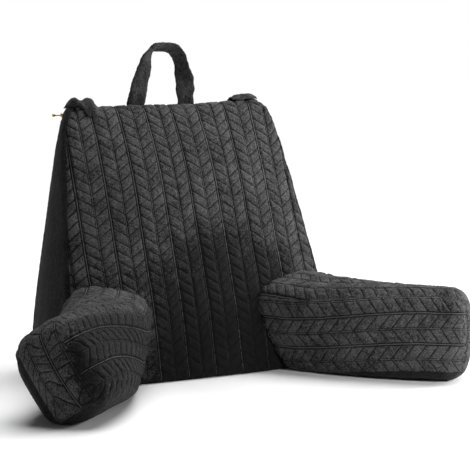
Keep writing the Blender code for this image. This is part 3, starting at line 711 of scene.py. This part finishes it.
def velour(name, dark_hex, pale_hex, quilted):
    material = bpy.data.materials.new(name)
    material.use_nodes = True
    tree = material.node_tree
    shader = tree.nodes["Principled BSDF"]
    place = add_node(tree, "ShaderNodeTexCoord").outputs[3]

    def noise_around_zero(size, detail, strength):
        cloud = add_node(tree, "ShaderNodeTexNoise", i0=place, i2=1.0 / size, i3=detail, i4=0.6).outputs[0]
        return maths(tree, "MULTIPLY", maths(tree, "SUBTRACT", cloud, 0.5), strength)

    fibre = noise_around_zero(FIBRE_SIZE, 2.0, 2.2)
    tuft = noise_around_zero(TUFT_SIZE, 3.0, 1.1)
    stroke = noise_around_zero(STROKE_SIZE, 3.0, 1.3)
    tone = maths(tree, "ADD", maths(tree, "ADD", fibre, tuft), maths(tree, "ADD", stroke, 0.5))
    height = maths(tree, "MULTIPLY_ADD", fibre, 0.0006, maths(tree, "MULTIPLY", tuft, 0.0009))
    if quilted:
        parted_pile_and_painted_crease_shade, raised_cord_and_painted_highlight = quilt_lines(tree)
        # The stitched lines are darkened for parted pile and for painted shade in the creases; the cords are
        # lightened, a painted highlight.
        tone = maths(tree, "MULTIPLY_ADD", raised_cord_and_painted_highlight, 1.2, maths(tree, "MULTIPLY_ADD", parted_pile_and_painted_crease_shade, -1.0, tone))
        height = maths(tree, "MULTIPLY_ADD", raised_cord_and_painted_highlight, 0.0009, maths(tree, "MULTIPLY_ADD", parted_pile_and_painted_crease_shade, -0.0010, height))
        # Painted shade: the colour is darkened by the attribute set low in the middle of the front and on the
        # left arm's inner side.
        flat = add_node(tree, "ShaderNodeAttribute", {"attribute_name": "painted_shade"}).outputs[2]
        tone = maths(tree, "MULTIPLY_ADD", flat, -1.0, tone)
    colour = add_node(tree, "ShaderNodeMix", {"data_type": "RGBA", "clamp_factor": True},
                      i0=tone, i6=linear(dark_hex), i7=linear(pale_hex)).outputs[2]
    bump = add_node(tree, "ShaderNodeBump", i0=1.0, i1=1.0, i3=height).outputs[0]
    tree.links.new(colour, shader.inputs["Base Color"])
    tree.links.new(bump, shader.inputs["Normal"])
    shader.inputs["Roughness"].default_value = 0.88
    shader.inputs["Specular IOR Level"].default_value = 0.15
    shader.inputs["Sheen Weight"].default_value = 0.06
    shader.inputs["Sheen Roughness"].default_value = 0.45
    shader.inputs["Sheen Tint"].default_value = linear("#cccccc")
    return material


quilted_velour = velour("charcoal_velour_quilted", "#161616", "#555555", True)
# The plain cloth is the same velour given darker colours: painted shade on the sides, back and underside of the
# cushions.
plain_velour_painted_shade = velour("charcoal_velour_plain_painted_shade", "#060606", "#282828", False)
strap_velour = velour("charcoal_velour_strap", "#121212", "#474747", False)
for piece in (wedge, arm_left, arm_right):
    piece.data.materials.append(quilted_velour)
    piece.data.materials.append(plain_velour_painted_shade)
    plain = face_means(piece, attribute_of(piece, "quilted"))[0] < 0.5
    piece.data.polygons.foreach_set("material_index", plain.astype(np.int32))
for piece in (handle, tab_left, tab_right, pocket):
    piece.data.materials.append(strap_velour)


# %% Brass of the zip pull
def turned_brass():
    """Brass, turned and lacquered: warm metal, a little rough from handling."""
    material = bpy.data.materials.new("lacquered_brass")
    material.use_nodes = True
    tree = material.node_tree
    shader = tree.nodes["Principled BSDF"]
    place = add_node(tree, "ShaderNodeTexCoord").outputs[3]
    wear = add_node(tree, "ShaderNodeTexNoise", i0=place, i2=900.0, i3=2.0, i4=0.5).outputs[0]
    colour = add_node(tree, "ShaderNodeMix", {"data_type": "RGBA"},
                      i0=wear, i6=linear("#8a6a2c"), i7=linear("#d9b468")).outputs[2]
    rough = add_node(tree, "ShaderNodeMapRange", i0=wear, i1=0.3, i2=0.7, i3=0.22, i4=0.45).outputs[0]
    tree.links.new(colour, shader.inputs["Base Color"])
    tree.links.new(rough, shader.inputs["Roughness"])
    shader.inputs["Metallic"].default_value = 1.0
    return material


zip_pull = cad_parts["zip_slider"]
zip_pull.data.materials.clear()
zip_pull.data.materials.append(turned_brass())

# %% [markdown]
# Studio
#
# A pale floor, one large soft light high on the right, which rakes over the leaves and
# leaves the left side in shade, and weak fill from the left. The camera stands low and
# to the left, far away, with a long lens.

# %% Floor and background
FLOOR_SIZE = 40.0


def make_floor():
    bm = bmesh.new()
    bmesh.ops.create_grid(bm, x_segments=2, y_segments=2, size=FLOOR_SIZE / 2.0)
    mesh = bpy.data.meshes.new("studio_floor")
    bm.to_mesh(mesh)
    bm.free()
    floor = bpy.data.objects.new("studio_floor", mesh)
    floor.location.z = -0.0005
    bpy.context.scene.collection.objects.link(floor)
    material = bpy.data.materials.new("matt_white_floor")
    material.use_nodes = True
    shader = material.node_tree.nodes["Principled BSDF"]
    shader.inputs["Base Color"].default_value = linear("#fdfdfd")
    shader.inputs["Roughness"].default_value = 0.9
    mesh.materials.append(material)


def make_world(light, backdrop):
    """White behind the object, and a weaker even light on it."""
    world = bpy.data.worlds.new("studio")
    world.use_nodes = True
    tree = world.node_tree
    tree.nodes.clear()
    seen = add_node(tree, "ShaderNodeLightPath").outputs[0]
    lit = add_node(tree, "ShaderNodeBackground", i0=(1.0, 1.0, 1.0, 1.0), i1=light).outputs[0]
    shown = add_node(tree, "ShaderNodeBackground", i0=(1.0, 1.0, 1.0, 1.0), i1=backdrop).outputs[0]
    mixed = add_node(tree, "ShaderNodeMixShader", i0=seen, i1=lit, i2=shown).outputs[0]
    add_node(tree, "ShaderNodeOutputWorld", i0=mixed)
    bpy.context.scene.world = world


make_floor()
make_world(0.05, 1.0)
bpy.context.scene.view_settings.view_transform = "Standard"


# %% Lights
def soft_light(name, place, target, size, power):
    light = bpy.data.lights.new(name, "AREA")
    light.shape = "DISK"
    light.size = size
    light.energy = power
    lamp = bpy.data.objects.new(name, light)
    lamp.location = place
    lamp.rotation_euler = (Vector(target) - Vector(place)).to_track_quat("-Z", "Y").to_euler()
    bpy.context.scene.collection.objects.link(lamp)


def overhead(place, angle, strength):
    """An even soft light from above that also keeps the far floor pale."""
    light = bpy.data.lights.new("overhead", "SUN")
    light.angle = angle
    light.energy = strength
    lamp = bpy.data.objects.new("overhead", light)
    lamp.rotation_euler = (-Vector(place)).to_track_quat("-Z", "Y").to_euler()
    bpy.context.scene.collection.objects.link(lamp)


def shaded_light(name, place, target, size, power, cone):
    """A lamp in a deep shade, whose light fades towards the edge of its cone."""
    light = bpy.data.lights.new(name, "SPOT")
    light.shadow_soft_size = size
    light.energy = power
    light.spot_size = cone
    light.spot_blend = 1.0
    lamp = bpy.data.objects.new(name, light)
    lamp.location = place
    lamp.rotation_euler = (Vector(target) - Vector(place)).to_track_quat("-Z", "Y").to_euler()
    bpy.context.scene.collection.objects.link(lamp)


overhead((0.30, 0.20, 0.93), radians(50), 3.4)
shaded_light("key_right", (2.0, -1.9, 1.5), (0.26, 0.06, 0.54), 0.35, 360.0, radians(22))
shaded_light("arm_light", (0.7, -3.0, 1.5), (0.44, -0.40, 0.12), 0.25, 620.0, radians(11))
soft_light("right_side", (2.6, -0.5, 0.9), (0.3, -0.3, 0.1), 1.0, 55.0)
soft_light("fill_left", (-2.4, -2.8, 1.2), (0.0, 0.0, 0.2), 2.0, 3.0)

# %% Camera
CAMERA_PLACE = Vector((-1.4278, -2.8638, 0.618))
CAMERA_HEADING = radians(28.7)
CAMERA_DOWN = radians(6.64)
LENS_MM = 129.7


def make_camera():
    data = bpy.data.cameras.new("camera")
    data.lens = LENS_MM
    data.sensor_width = 36.0
    camera = bpy.data.objects.new("camera", data)
    camera.location = CAMERA_PLACE
    camera.rotation_euler = (pi / 2.0 - CAMERA_DOWN, 0.0, -CAMERA_HEADING)
    bpy.context.scene.collection.objects.link(camera)
    bpy.context.scene.camera = camera


make_camera()
